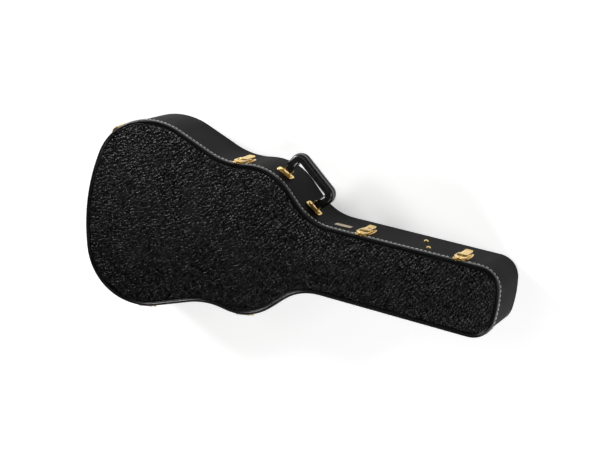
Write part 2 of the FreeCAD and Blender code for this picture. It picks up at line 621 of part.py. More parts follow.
def handle_bracket(tag, x, sign):
    """Plate on the wall with two ears square to the handle."""
    place, half = handle_frame()
    level, out, big = dim("handle_level"), dim("pin_offset"), dim("ear_radius")
    tall, long = dim("bracket_tall"), dim("bracket_length")
    plate = prism("BracketPlate" + tag, "XZ",
                  [(-long / 2, level - tall / 2, 5), (long / 2, level - tall / 2, 5),
                   (long / 2, level + tall / 2, 5), (-long / 2, level + tall / 2, 5)], "0", "bracket_plate")
    rib_half, rib = dim("rib_length") / 2, dim("rib_tall") / 2
    rib = prism("BracketRib" + tag, "XZ",
                [(-rib_half, level - rib, 4.8), (rib_half, level - rib, 4.8),
                 (rib_half, level + rib, 4.8), (-rib_half, level + rib, 4.8)], "bracket_plate", "rib_high")
    seat = wall_frame(x, 1, dim("base_step"), long / 2)
    plate = placed("BracketSeat" + tag, fuse("BracketStep" + tag, [plate, rib]), seat)
    gap, thick = dim("ear_gap"), dim("ear_thick")
    slope = math.tan(seat.Rotation.Angle * seat.Rotation.Axis.z
                     - place.Rotation.Angle * place.Rotation.Axis.z)
    ears = []
    for i, start in enumerate((-gap / 2 - thick, gap / 2)):
        root = slope * (start + thick / 2) + dim("bracket_plate") / 2
        ear = prism("BracketEar%s%d" % (tag, i), "YZ",
                    [(root, level - big), (out, level - big, 2), (out + big, level - 3, 3),
                     (out + big, level + 3, 3), (out, level + big, 2), (root, level + big)],
                    "%s" % (sign * half + start), "ear_thick")
        ears.append(placed("BracketEarSeat%s%d" % (tag, i), ear, place))
    body = fuse("BracketBody" + tag, [plate] + ears)
    start = place.multVec(V(sign * half - 30, out, level))
    hole = rod("BracketHole" + tag, "pin_radius", start, place.Rotation.multVec(V(1, 0, 0)), "60")
    node(cut("Bracket" + tag, body, hole), "handle_bracket_%s" % tag.lower())
    reach = gap / 2 + thick + 1.2
    start = place.multVec(V(sign * half - reach, out, level))
    return rod("HandlePin" + tag, "pin_radius", start, place.Rotation.multVec(V(1, 0, 0)),
               "ear_gap + 2 * ear_thick + 2.4")


def grip_path(low, extra):
    """U-shaped line of the grip: corners (x, outward, radius), grown outward by extra."""
    half = dim("grip_half_length") - dim("grip_thick") / 2 + extra
    top = dim("grip_reach") - dim("grip_thick") / 2 + extra
    lean = dim("grip_lean")
    return [(-half + lean, low), (-half, top, dim("grip_corner") + extra),
            (half, top, dim("grip_corner") + extra), (half - lean, low)]


def open_path(name, corners):
    """Open sketched line with rounded inner corners, in the XY plane."""
    sketch = DOC.addObject("Sketcher::SketchObject", name)
    last = V(corners[0][0], corners[0][1], 0)
    for i in range(1, len(corners) - 1):
        here = V(corners[i][0], corners[i][1], 0)
        before = (V(*corners[i - 1][:2], 0) - here).normalize()
        after = (V(*corners[i + 1][:2], 0) - here).normalize()
        radius, half_angle = corners[i][2], before.getAngle(after) / 2
        reach = radius / math.tan(half_angle)
        middle = here + (before + after).normalize() * (radius / math.sin(half_angle) - radius)
        sketch.addGeometry(Part.LineSegment(last, here + before * reach), False)
        sketch.addGeometry(Part.Arc(here + before * reach, middle, here + after * reach), False)
        last = here + after * reach
    sketch.addGeometry(Part.LineSegment(last, V(corners[-1][0], corners[-1][1], 0)), False)
    return sketch


def build_grip():
    """Moulded grip with a tongue at each end, and the ridge along its outer side."""
    place, half = handle_frame()
    level, out = dim("handle_level"), dim("pin_offset")
    thick, wide, low = dim("grip_thick") / 2, dim("grip_wide") / 2, out + 8.0
    corners = grip_path(low, 0)
    path = open_path("GripPath", corners)
    path.Placement.Base.z = level
    edge = dim("grip_round")
    section = profile("GripSection", "XZ", [(-thick, -wide, edge), (thick, -wide, edge),
                                            (thick, wide, edge), (-thick, wide, edge)])
    section.Placement.Base = V(corners[0][0], low, level)
    swept = DOC.addObject("Part::Sweep", "GripSweep")
    swept.Sections = [section]
    swept.Spine = (path, [])
    swept.Solid = True
    end = dim("grip_reach") + 5
    side = prism("GripSide", "YZ",
                 [(out, level - 7.5), (out + 10, level - 8.5, 10), (out + 22, level - wide, 30),
                  (end, level - wide), (end, level + wide), (out + 22, level + wide, 30),
                  (out + 10, level + 8.5, 10), (out, level + 7.5)], "-100", "200")
    body = common("GripBody", swept, side)
    tongues = []
    foot = out - 5.5
    for tag, sign in (("Rear", -1), ("Front", 1)):
        tongues.append(prism("Tongue" + tag, "YZ", [(foot, level - 6, 5.4), (out + 12, level - 7.5),
                                                    (out + 12, level + 7.5), (foot, level + 6, 5.4)],
                             "%s - leg_wide / 2" % (sign * half), "leg_wide"))
    bore = rod("GripBore", "pin_radius + running", V(-120, out, level), V(1, 0, 0), "240")
    grip = cut("Grip", fuse("GripWhole", [body] + tongues), bore)
    grip.Placement = place
    node(grip, "handle_grip")
    high = dim("welt_high")
    band = prism("WeltBlank", "XY", grip_path(out + 16, dim("grip_thick") / 2 + high),
                 "handle_level - welt_wide / 2", "welt_wide")
    inside = prism("WeltInside", "XY", grip_path(out - 10, 0), "0", "300")
    welt = cut("Welt", band, fuse("WeltTools", [swept, inside]))
    welt.Placement = place
    node(welt, "handle_welt")


def build_stitching():
    """The stitch line round the lid wall, which stops under the keepers and the hinge leaves."""
    line = ring("Thread", "0 - thread_stand", "0", "thread_height - thread / 2", "thread_height + thread / 2")
    over = [part for part in NODES if part.Label.endswith(("_keeper", "_lid_leaf"))]
    node(cut("Stitching", line, fuse("ThreadGaps", over)), "lid_stitching")


def build_small_fittings():
    """Cradle studs and the blank name plate on the latch side."""
    studs = []
    for i, (x, z) in enumerate(((315.0, 49.0), (339.0, 101.0))):
        place = wall_frame(x, 1, dim("base_step"))
        studs.append(dome("Stud%d" % i, "stud_radius", "stud_high", place, V(0, 0, z)))
    node(group("CradleStuds", studs), "cradle_studs")
    long, tall, level = dim("badge_long") / 2, dim("badge_tall") / 2, dim("badge_level")
    badge = prism("Badge", "XZ",
                  [(-long, level - tall, 1.5), (long, level - tall, 1.5), (long, level + tall, 1.5),
                   (-long, level + tall, 1.5)], "badge_stand", "badge_thick")
    node(placed("BadgeSeat", badge, wall_frame(dim("badge_x"), 1, dim("base_step"), long)), "name_plate")


def main():
    build_base()
    build_neck_section()
    build_box_lid()
    build_lid()
    pins, heads = [], []
    for tag in ("butt", "waist", "neck", "head"):
        pin, rivets = build_latch(tag, tag == "neck")
        pins.append(pin)
        heads += rivets
    build_key_plug()
    node(group("LatchPins", pins), "latch_pins")
    base_heads, lid_heads = build_hinges()
    node(group("BaseRivets", heads + base_heads), "base_rivets")
    node(group("LidRivets", lid_heads), "lid_rivets")
    handle_pins = [handle_bracket("Front", dim("bracket_front_x"), 1),
                   handle_bracket("Rear", dim("bracket_rear_x"), -1)]
    node(group("HandlePins", handle_pins), "handle_pins")
    build_grip()
    build_stitching()
    build_small_fittings()
    DOC.recompute()
    check_and_export()


def check_and_export():
    """Refuse a failed feature, then write one STEP file for each sub-part."""
    failed = [o.Label for o in DOC.Objects if "Invalid" in o.State or "Error" in o.State]
    if failed:
        raise RuntimeError("failed objects: " + ", ".join(failed))
    for part in NODES:
        if part.Shape.isNull() or not part.Shape.isValid() or part.Shape.Volume <= 0:
            raise RuntimeError("bad shape: " + part.Label)
    os.makedirs("parts", exist_ok=True)
    for part in NODES:
        part.Shape.exportStep(os.path.join("parts", part.Label + ".step"))
        print("%-26s %3d solids %10.1f mm3" % (part.Label, len(part.Shape.Solids), part.Shape.Volume))


main()
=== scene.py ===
import json
import math
import bmesh
import bpy
import numpy as np
from mathutils import Matrix, Vector
from mathutils.kdtree import KDTree


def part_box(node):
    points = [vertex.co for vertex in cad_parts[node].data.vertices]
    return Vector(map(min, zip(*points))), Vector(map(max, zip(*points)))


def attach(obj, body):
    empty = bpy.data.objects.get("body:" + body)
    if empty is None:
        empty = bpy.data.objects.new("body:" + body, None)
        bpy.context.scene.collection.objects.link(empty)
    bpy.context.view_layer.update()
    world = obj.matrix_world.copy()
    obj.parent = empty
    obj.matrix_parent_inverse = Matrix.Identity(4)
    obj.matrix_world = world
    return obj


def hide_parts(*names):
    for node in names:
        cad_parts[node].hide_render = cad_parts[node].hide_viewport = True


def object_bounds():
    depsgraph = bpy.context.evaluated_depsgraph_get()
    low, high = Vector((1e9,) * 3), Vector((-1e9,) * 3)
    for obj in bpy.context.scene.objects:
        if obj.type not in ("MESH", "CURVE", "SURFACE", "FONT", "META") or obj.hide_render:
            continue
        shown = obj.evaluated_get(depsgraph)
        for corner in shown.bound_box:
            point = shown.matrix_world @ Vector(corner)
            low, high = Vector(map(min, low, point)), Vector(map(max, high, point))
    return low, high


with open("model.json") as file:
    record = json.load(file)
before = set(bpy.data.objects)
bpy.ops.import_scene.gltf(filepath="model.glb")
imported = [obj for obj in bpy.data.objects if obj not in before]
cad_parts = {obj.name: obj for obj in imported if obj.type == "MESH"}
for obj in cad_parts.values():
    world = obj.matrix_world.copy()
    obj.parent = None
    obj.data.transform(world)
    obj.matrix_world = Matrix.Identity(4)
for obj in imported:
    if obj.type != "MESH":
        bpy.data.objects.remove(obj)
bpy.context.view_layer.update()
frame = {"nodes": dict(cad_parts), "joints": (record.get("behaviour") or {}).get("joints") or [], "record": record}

NODES = frame["nodes"]
MM = 0.001


# ---------------------------------------------------------------- node helpers

def new_material(name):
    mat = bpy.data.materials.new(name)
    mat.use_nodes = True
    mat.node_tree.nodes.clear()
    return mat, mat.node_tree.nodes, mat.node_tree.links


def shader(nodes, links, **sockets):
    """Principled shader wired to the output; constants go on its own sockets."""
    bsdf = nodes.new("ShaderNodeBsdfPrincipled")
    out = nodes.new("ShaderNodeOutputMaterial")
    links.new(bsdf.outputs[0], out.inputs[0])
    for name, value in sockets.items():
        bsdf.inputs[name.replace("_", " ")].default_value = value
    return bsdf


def coords(nodes, links, scale=(1, 1, 1)):
    tex = nodes.new("ShaderNodeTexCoord")
    mapping = nodes.new("ShaderNodeMapping")
    mapping.inputs["Scale"].default_value = scale
    links.new(tex.outputs["Object"], mapping.inputs["Vector"])
    return mapping.outputs["Vector"]


def noise(nodes, links, vector, scale, detail=3.0, roughness=0.5):
    tex = nodes.new("ShaderNodeTexNoise")
    tex.inputs["Scale"].default_value = scale
    tex.inputs["Detail"].default_value = detail
    tex.inputs["Roughness"].default_value = roughness
    links.new(vector, tex.inputs["Vector"])
    return tex.outputs["Fac"]


def voronoi(nodes, links, vector, scale, feature="F1", randomness=1.0):
    tex = nodes.new("ShaderNodeTexVoronoi")
    tex.feature = feature
    tex.inputs["Scale"].default_value = scale
    tex.inputs["Randomness"].default_value = randomness
    links.new(vector, tex.inputs["Vector"])
    return tex.outputs["Distance"]


def ramp(nodes, links, value, stops):
    """Colour ramp from (position, colour or grey) stops."""
    node = nodes.new("ShaderNodeValToRGB")
    elements = node.color_ramp.elements
    while len(elements) < len(stops):
        elements.new(0.5)
    for element, (at, colour) in zip(elements, stops):
        element.position = at
        element.color = (*([colour] * 3 if isinstance(colour, (int, float)) else colour), 1.0)
    links.new(value, node.inputs["Fac"])
    return node.outputs["Color"]


def math_node(nodes, links, operation, a, b):
    node = nodes.new("ShaderNodeMath")
    node.operation = operation
    for socket, value in zip(node.inputs, (a, b)):
        if isinstance(value, (int, float)):
            socket.default_value = value
        else:
            links.new(value, socket)
    return node.outputs[0]


def bump(nodes, links, height, strength, distance):
    node = nodes.new("ShaderNodeBump")
    node.inputs["Strength"].default_value = strength
    node.inputs["Distance"].default_value = distance
    links.new(height, node.inputs["Height"])
    return node.outputs["Normal"]


# ---------------------------------------------------------------- materials

PEBBLES, FINE_PEBBLES, PEBBLE_HEIGHT = 140, 420, 0.0011
GRAIN_WARP = 0.006


def pebbled_vinyl():
    """Pebble grain: rounded cells of uneven size; the colour is painted lighter on the cell tops as painted
    highlight and darker in the creases as painted shade.
    """
    mat, nodes, links = new_material("PebbledVinyl")
    at = coords(nodes, links)
    warp = nodes.new("ShaderNodeTexNoise")
    warp.inputs["Scale"].default_value = 80
    warp.inputs["Detail"].default_value = 3
    links.new(at, warp.inputs["Vector"])
    mixed = nodes.new("ShaderNodeVectorMath")
    mixed.operation = "MULTIPLY_ADD"
    mixed.inputs[1].default_value = (GRAIN_WARP,) * 3
    links.new(warp.outputs["Color"], mixed.inputs[0])
    links.new(at, mixed.inputs[2])
    cells = voronoi(nodes, links, mixed.outputs[0], PEBBLES, "DISTANCE_TO_EDGE", 1.0)
    tops = ramp(nodes, links, cells, [(0.0, 0.0), (0.12, 0.45), (0.3, 0.85), (0.5, 1.0)])
    small = voronoi(nodes, links, mixed.outputs[0], FINE_PEBBLES, "DISTANCE_TO_EDGE", 1.0)
    wide = noise(nodes, links, at, 16, 3.0)
    height = math_node(nodes, links, "MULTIPLY_ADD", small, 0.35)
    links.new(tops, height.node.inputs[2])
    bsdf = shader(nodes, links, Specular_IOR_Level=0.22)
    # Colour follows the cells: near-black creases are painted shade, and the lighter cell tops are painted
    # highlight.
    links.new(ramp(nodes, links, cells, [(0.0, 0.0002), (0.12, 0.0006), (0.3, 0.006), (0.5, 0.03)]),
              bsdf.inputs["Base Color"])
    rough = math_node(nodes, links, "MULTIPLY_ADD", wide, 0.14)
    rough.node.inputs[2].default_value = 0.20
    links.new(rough, bsdf.inputs["Roughness"])
    links.new(bump(nodes, links, height, 1.0, PEBBLE_HEIGHT), bsdf.inputs["Normal"])
    return mat


def smooth_vinyl(name, low, high, rough, shine=0.4):
    """Flat vinyl cloth with a faint fine grain and slow changes of shade."""
    mat, nodes, links = new_material(name)
    at = coords(nodes, links)
    wide = noise(nodes, links, at, 9, 3.0)
    grain = voronoi(nodes, links, at, 1100, "F1", 1.0)
    bsdf = shader(nodes, links, Specular_IOR_Level=shine)
    links.new(ramp(nodes, links, wide, [(0.3, low), (0.7, high)]), bsdf.inputs["Base Color"])
    shade = math_node(nodes, links, "MULTIPLY_ADD", wide, 0.12)
    shade.node.inputs[2].default_value = rough
    links.new(shade, bsdf.inputs["Roughness"])
    links.new(bump(nodes, links, grain, 0.25, 0.0003), bsdf.inputs["Normal"])
    return mat


def plush(name, colour, scale=2600):
    """Short dense pile."""
    mat, nodes, links = new_material(name)
    at = coords(nodes, links)
    pile = noise(nodes, links, at, scale, 2.0, 0.7)
    nap = noise(nodes, links, at, 22, 3.0)
    bsdf = shader(nodes, links, Roughness=0.95, Specular_IOR_Level=0.15,
                  Sheen_Weight=0.55, Sheen_Roughness=0.4)
    darker = tuple(c * 0.45 for c in colour)
    links.new(ramp(nodes, links, nap, [(0.3, darker), (0.7, colour)]), bsdf.inputs["Base Color"])
    links.new(bump(nodes, links, pile, 0.7, 0.0012), bsdf.inputs["Normal"])
    return mat


def plywood():
    mat, nodes, links = new_material("Plywood")
    at = coords(nodes, links, scale=(2, 30, 90))
    grain = noise(nodes, links, at, 6, 6.0, 0.65)
    bsdf = shader(nodes, links, Specular_IOR_Level=0.25)
    links.new(ramp(nodes, links, grain, [(0.3, (0.36, 0.24, 0.13)), (0.7, (0.62, 0.47, 0.3))]),
              bsdf.inputs["Base Color"])
    links.new(ramp(nodes, links, grain, [(0.2, 0.6), (0.8, 0.75)]), bsdf.inputs["Roughness"])
    links.new(bump(nodes, links, grain, 0.2, 0.0004), bsdf.inputs["Normal"])
    return mat


def gold(name, colour, rough, tarnish=0.25):
    """Polished plating: faint handling marks and slightly duller hollows."""
    mat, nodes, links = new_material(name)
    at = coords(nodes, links)
    wide = noise(nodes, links, at, 60, 4.0)
    scuff = noise(nodes, links, coords(nodes, links, scale=(1, 1, 9)), 900, 2.0)
    bsdf = shader(nodes, links, Metallic=1.0)
    dull = tuple(c * (1 - tarnish) for c in colour)
    links.new(ramp(nodes, links, wide, [(0.3, dull), (0.65, colour)]), bsdf.inputs["Base Color"])
    shade = math_node(nodes, links, "MULTIPLY_ADD", scuff, 0.14)
    shade.node.inputs[2].default_value = rough
    links.new(shade, bsdf.inputs["Roughness"])
    links.new(bump(nodes, links, wide, 0.05, 0.0006), bsdf.inputs["Normal"])
    return mat


def gloss_plastic():
    mat, nodes, links = new_material("GripPlastic")
    at = coords(nodes, links)
    ripple = noise(nodes, links, at, 120, 3.0)
    bsdf = shader(nodes, links, Specular_IOR_Level=0.55, Coat_Weight=0.35, Coat_Roughness=0.12)
    links.new(ramp(nodes, links, ripple, [(0.3, (0.006, 0.006, 0.0065)), (0.7, (0.011, 0.011, 0.0115))]),
              bsdf.inputs["Base Color"])
    links.new(ramp(nodes, links, ripple, [(0.2, 0.22), (0.8, 0.34)]), bsdf.inputs["Roughness"])
    links.new(bump(nodes, links, ripple, 0.08, 0.0006), bsdf.inputs["Normal"])
    return mat


def thread():
    mat, nodes, links = new_material("Thread")
    at = coords(nodes, links)
    ply = nodes.new("ShaderNodeTexWave")
    ply.bands_direction = "DIAGONAL"
    ply.inputs["Scale"].default_value = 420
    links.new(at, ply.inputs["Vector"])
    bsdf = shader(nodes, links, Roughness=0.7, Sheen_Weight=0.3)
    links.new(ramp(nodes, links, ply.outputs["Fac"], [(0.1, (0.66, 0.65, 0.62)), (0.7, (0.95, 0.94, 0.91))]),
              bsdf.inputs["Base Color"])
    links.new(bump(nodes, links, ply.outputs["Fac"], 0.5, 0.0003), bsdf.inputs["Normal"])
    return mat


MATERIALS = {
    "pebbled_vinyl": pebbled_vinyl(),
    "rim_vinyl": smooth_vinyl("RimVinyl", (0.003, 0.003, 0.003), (0.005, 0.005, 0.005), 0.16, 0.3),
    "smooth_vinyl": smooth_vinyl("SmoothVinyl", (0.0038, 0.0038, 0.0037), (0.0052, 0.0052, 0.0051),
                                 0.5, 0.04),
    "lip_strip": smooth_vinyl("LipStrip", (0.012, 0.012, 0.012), (0.018, 0.018, 0.018), 0.5),
    "plush": plush("Plush", (0.022, 0.022, 0.024)),
    "plush_foam": plush("PlushFoam", (0.024, 0.024, 0.026)),
    "ribbon": plush("Ribbon", (0.015, 0.015, 0.016), 1500),
    "plywood": plywood(),
    "gold_hardware": gold("GoldHardware", (0.95, 0.68, 0.26), 0.20),
    "steel_pin": gold("PinGold", (0.80, 0.58, 0.24), 0.18),
    "lock_brass": gold("LockGold", (0.82, 0.60, 0.24), 0.16),
    "plate_brass": gold("PlateGold", (0.50, 0.41, 0.29), 0.34, 0.1),
    "grip_plastic": gloss_plastic(),
    "thread": thread(),
}

SLOT_OF = {row["node"]: row["material_slot"] for row in frame["record"]["subparts"]}


def paint(obj, slot):
    obj.data.materials.clear()
    obj.data.materials.append(MATERIALS[slot])


for name, obj in NODES.items():
    paint(obj, SLOT_OF[name])


# ---------------------------------------------------------------- mesh helpers

def link_mesh(name, verts, faces, slot, body, smooth_angle=40):
    """New piece from vertices in metres, riding on a body and painted from a record slot."""
    mesh = bpy.data.meshes.new(name)
    mesh.from_pydata([tuple(v) for v in verts], [], faces)
    return finish_piece(bpy.data.objects.new(name, mesh), slot, body, smooth_angle)


def finish_piece(obj, slot, body, smooth_angle=40):
    mesh = obj.data
    bm = bmesh.new()
    bm.from_mesh(mesh)
    bmesh.ops.recalc_face_normals(bm, faces=bm.faces)
    bm.to_mesh(mesh)
    bm.free()
    mesh.polygons.foreach_set("use_smooth", [True] * len(mesh.polygons))
    mesh.set_sharp_from_angle(angle=math.radians(smooth_angle))
    if obj.name not in bpy.context.collection.objects:
        bpy.context.collection.objects.link(obj)
    paint(obj, slot)
    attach(obj, body)
    return obj


def evaluated_mesh(obj):
    graph = bpy.context.evaluated_depsgraph_get()
    return bpy.data.meshes.new_from_object(obj.evaluated_get(graph))


def bake_modifiers(obj):
    """Keep what the modifiers make, and drop them."""
    mesh = evaluated_mesh(obj)
    obj.modifiers.clear()
    obj.data = mesh


def coordinates(mesh):
    flat = np.empty(len(mesh.vertices) * 3)
    mesh.vertices.foreach_get("co", flat)
    return flat.reshape(-1, 3)


def set_coordinates(mesh, points):
    mesh.vertices.foreach_set("co", np.asarray(points, float).ravel())
    mesh.update()


def vertex_normals(mesh):
    flat = np.empty(len(mesh.vertices) * 3)
    mesh.vertices.foreach_get("normal", flat)
    return flat.reshape(-1, 3)


# ---------------------------------------------------------------- plan outline

def outer_loop(node, level):
    """Longest closed outline, in plan, of a CAD node's flat faces at one level."""
    mesh = NODES[node].data
    edges = set()
    for poly in mesh.polygons:
        corners = [mesh.vertices[i].co for i in poly.vertices]
        if all(abs(c.z - level) < 2e-5 for c in corners):
            keys = [(round(c.x, 5), round(c.y, 5)) for c in corners]
            for a, b in zip(keys, keys[1:] + keys[:1]):
                if (b, a) in edges:
                    edges.discard((b, a))
                else:
                    edges.add((a, b))
    follow = dict(edges)
    best = []
    while follow:
        start, here = follow.popitem()
        loop = [start]
        while here != start and here in follow:
            loop.append(here)
            here = follow.pop(here)
        if len(loop) > 2 and loop_length(loop) > loop_length(best):
            best = loop
    return np.array(best)


def loop_length(loop):
    points = np.array(loop) if len(loop) else np.zeros((1, 2))
    return float(np.linalg.norm(np.roll(points, -1, 0) - points, axis=1).sum())


def even_outline(loop, step=0.003):
    """The outline at even steps, counter-clockwise, with the facets smoothed out."""
    area = np.sum(loop[:, 0] * np.roll(loop[:, 1], -1) - np.roll(loop[:, 0], -1) * loop[:, 1])
    if area < 0:
        loop = loop[::-1]
    closed = np.vstack([loop, loop[:1]])
    run = np.concatenate([[0], np.cumsum(np.linalg.norm(np.diff(closed, axis=0), axis=1))])
    count = int(run[-1] / step)
    at = np.linspace(0, run[-1], count, endpoint=False)
    points = np.stack([np.interp(at, run, closed[:, k]) for k in (0, 1)], axis=1)
    for _ in range(4):
        points = 0.5 * points + 0.25 * (np.roll(points, 1, 0) + np.roll(points, -1, 0))
    along = np.roll(points, -1, 0) - np.roll(points, 1, 0)
    along /= np.linalg.norm(along, axis=1)[:, None]
    return points, np.stack([along[:, 1], -along[:, 0]], axis=1)


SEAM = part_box("lid_side_cover")[0].z
OUTLINE, OUTWARD = even_outline(outer_loop("lid_side_cover", SEAM))
STEPS = np.linalg.norm(np.roll(OUTLINE, -1, 0) - OUTLINE, axis=1)
RUN = np.concatenate([[0], np.cumsum(STEPS)])


def on_outline(distance):
    """Point and outward normal at a distance along the outline."""
    wrapped = distance % RUN[-1]
    point = [np.interp(wrapped, RUN, np.append(OUTLINE[:, k], OUTLINE[0, k])) for k in (0, 1)]
    out = [np.interp(wrapped, RUN, np.append(OUTWARD[:, k], OUTWARD[0, k])) for k in (0, 1)]
    return np.array(point), np.array(out)


def ring_piece(name, profile, slot, body, ripple=0.0, seed=0, smooth_angle=50):
    """Closed section of (inset, height) corners in millimetres, run round the outline."""
    count, width = len(OUTLINE), len(profile)
    rng = np.random.default_rng(seed)
    wave = np.zeros(count)
    if ripple:
        phase = np.linspace(0, 2 * math.pi, count, endpoint=False)
        for turns in (23, 41, 67, 97):
            wave += np.sin(turns * phase + rng.uniform(0, 6.28)) * ripple / 4
    verts = np.empty((count, width, 3))
    for k, (inset, height) in enumerate(profile):
        verts[:, k, :2] = OUTLINE - OUTWARD * (inset * MM + wave[:, None] * (k % 2))
        verts[:, k, 2] = height * MM
    faces = [(i * width + k, i * width + (k + 1) % width,
              (i + 1) % count * width + (k + 1) % width, (i + 1) % count * width + k)
             for i in range(count) for k in range(width)]
    return link_mesh(name, verts.reshape(-1, 3), faces, slot, body, smooth_angle)


def rounded_profile(corners, radius, steps=5):
    """Round each (x, y, radius factor) corner of a closed section."""
    out = []
    for i, (x, y, factor) in enumerate(corners):
        here = Vector((x, y))
        if not factor:
            out.append((x, y))
            continue
        before = Vector(corners[i - 1][:2]) - here
        after = Vector(corners[(i + 1) % len(corners)][:2]) - here
        reach = min(radius * factor, before.length * 0.48, after.length * 0.48)
        a, b = here + before.normalized() * reach, here + after.normalized() * reach
        for k in range(steps + 1):
            t = k / steps
            point = a * (1 - t) ** 2 + here * 2 * t * (1 - t) + b * t ** 2
            out.append((point.x, point.y))
    return out


# ---------------------------------------------------------------- lid face, rim and stitches

def edge_distance(points):
    """Distance in plan from each point to the outline."""
    tree = KDTree(len(OUTLINE))
    for i, p in enumerate(OUTLINE):
        tree.insert((p[0], p[1], 0), i)
    tree.balance()
    return np.array([tree.find((p[0], p[1], 0))[2] for p in points])


def remeshed(node, name, voxel, tall=1.0):
    """A CAD solid copied with even quads; a thin one is stretched upward while it is remeshed."""
    mesh = NODES[node].data.copy()
    bm = bmesh.new()
    bm.from_mesh(mesh)
    bmesh.ops.remove_doubles(bm, verts=bm.verts, dist=1e-6)
    bm.to_mesh(mesh)
    bm.free()
    mesh.transform(Matrix.Diagonal((1, 1, tall, 1)))
    obj = bpy.data.objects.new(name, mesh)
    bpy.context.collection.objects.link(obj)
    remesh = obj.modifiers.new("Remesh", "REMESH")
    remesh.mode = "VOXEL"
    remesh.voxel_size = voxel
    bake_modifiers(obj)
    obj.data.transform(Matrix.Diagonal((1, 1, 1 / tall, 1)))
    return obj


RIM_WIDTH = 9.5
FACE_VOXEL, FACE_STRETCH = 0.0045, 5.0
FACE_CROWN, CROWN_REACH = 7.0, 100.0
FACE_SAG, SAG_REACH = 1.5, 3.5


def build_face():
    """Leatherette over thin foam: flat at the rim, slightly crowned in the middle."""
    obj = remeshed("lid_face_cover", "lid_face", FACE_VOXEL, FACE_STRETCH)
    points = coordinates(obj.data)
    low, high = (v.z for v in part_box("lid_face_cover"))
    inside = edge_distance(points) - (RIM_WIDTH * MM)
    level = np.clip((points[:, 2] - low) / (high - low), 0, 1)
    sag = -FACE_SAG * MM * np.exp(-np.clip(inside, 0, None) / (SAG_REACH * MM))
    crown = FACE_CROWN * MM * (1 - np.exp(-(np.clip(inside, 0, None) / (CROWN_REACH * MM)) ** 1.5))
    points[:, 2] = low + (high - low) * level + level * (sag + crown)
    set_coordinates(obj.data, points)
    smooth = obj.modifiers.new("Smooth", "SUBSURF")
    smooth.levels = smooth.render_levels = 1
    bake_modifiers(obj)
    finish_piece(obj, "pebbled_vinyl", "lid", 60)
    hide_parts("lid_face_cover")


def build_rim():
    """Rolled edge with a cord sewn in along the face."""
    roll = [(0.0, 151.0), (0.0, 153.0), (0.05, 155.0), (0.45, 157.0), (1.3, 158.6), (2.5, 159.6),
            (3.8, 160.0), (5.2, 159.9), (6.4, 159.3), (7.2, 158.6), (7.7, 158.5), (8.1, 159.1),
            (8.6, 159.9), (9.2, 160.2), (9.8, 159.9), (10.2, 159.0), (10.3, 157.6), (10.2, 156.05),
            (1.25, 156.05), (1.25, 151.0)]
    rim = ring_piece("lid_rim_roll", roll, "rim_vinyl", "lid", smooth_angle=62)
    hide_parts("lid_rim")


STITCH_PITCH, STITCH_LONG, STITCH_HALF, STITCH_PROUD = 10.7, 8.0, 1.1, 1.2
GAP_ALONG, GAP_ACROSS = 3 * MM, 9 * MM


def build_stitches():
    """Single stitches round the lid wall, with gaps at the keepers and the hinge leaves."""
    level = sum(v.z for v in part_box("lid_stitching")) / 2
    gaps = [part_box(n) for n in NODES if n.endswith(("_keeper", "_lid_leaf"))]
    count = round(RUN[-1] / (STITCH_PITCH * MM))
    rng = np.random.default_rng(7)
    verts, faces = [], []
    for i in range(count):
        middle = RUN[-1] * i / count
        place = on_outline(middle)[0]
        if any(lo.x - GAP_ALONG < place[0] < hi.x + GAP_ALONG
               and lo.y - GAP_ACROSS < place[1] < hi.y + GAP_ACROSS for lo, hi in gaps):
            continue
        tilt, grow = rng.uniform(-0.35, 0.35) * MM, rng.uniform(0.94, 1.04)
        first = len(verts)
        for t in (-1.0, -0.86, -0.45, 0.0, 0.45, 0.86, 1.0):
            swell = math.sqrt(max(1 - t * t, 0.03)) ** 0.6
            point, out = on_outline(middle + t * grow * STITCH_LONG * MM / 2)
            for k in range(8):
                angle = k * math.pi / 4
                stand = (-0.35 + STITCH_PROUD * swell * max(math.sin(angle), -0.3)) * MM
                rise = STITCH_HALF * swell * math.cos(angle) * MM + tilt * t
                verts.append((point[0] + out[0] * stand, point[1] + out[1] * stand, level + rise))
        for row in range(6):
            for k in range(8):
                a, b = first + row * 8 + k, first + row * 8 + (k + 1) % 8
                faces.append((a, b, b + 8, a + 8))
        faces.append(tuple(range(first, first + 8)))
        faces.append(tuple(range(first + 48, first + 56)))
    stitches = link_mesh("lid_stitches", verts, faces, "thread", "lid", 80)
    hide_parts("lid_stitching")


# ---------------------------------------------------------------- plush interior

CLOTH_FRAMES = 20


def inflate(obj, pressure, cap, low=None):
    """Blow a pad up with Cloth, and cap how far each point may move, in millimetres."""
    rest = coordinates(obj.data)
    cloth = obj.modifiers.new("Cloth", "CLOTH")
    cloth.settings.use_pressure = True
    cloth.settings.uniform_pressure_force = pressure
    cloth.settings.effector_weights.gravity = 0
    cloth.settings.tension_stiffness = 12
    cloth.settings.compression_stiffness = 12
    cloth.settings.bending_stiffness = 0.4
    cloth.point_cache.frame_start, cloth.point_cache.frame_end = 1, CLOTH_FRAMES
    for step in range(1, CLOTH_FRAMES + 1):
        bpy.context.scene.frame_set(step)
    points = coordinates(evaluated_mesh(obj))
    obj.modifiers.clear()
    bpy.context.scene.frame_set(1)
    moved = points - rest
    length = np.linalg.norm(moved, axis=1)
    keep = np.minimum(1, cap * MM / np.maximum(length, 1e-9))
    points = rest + moved * keep[:, None]
    if low is not None:
        points[:, 2] = np.maximum(points[:, 2], low)
    set_coordinates(obj.data, points)


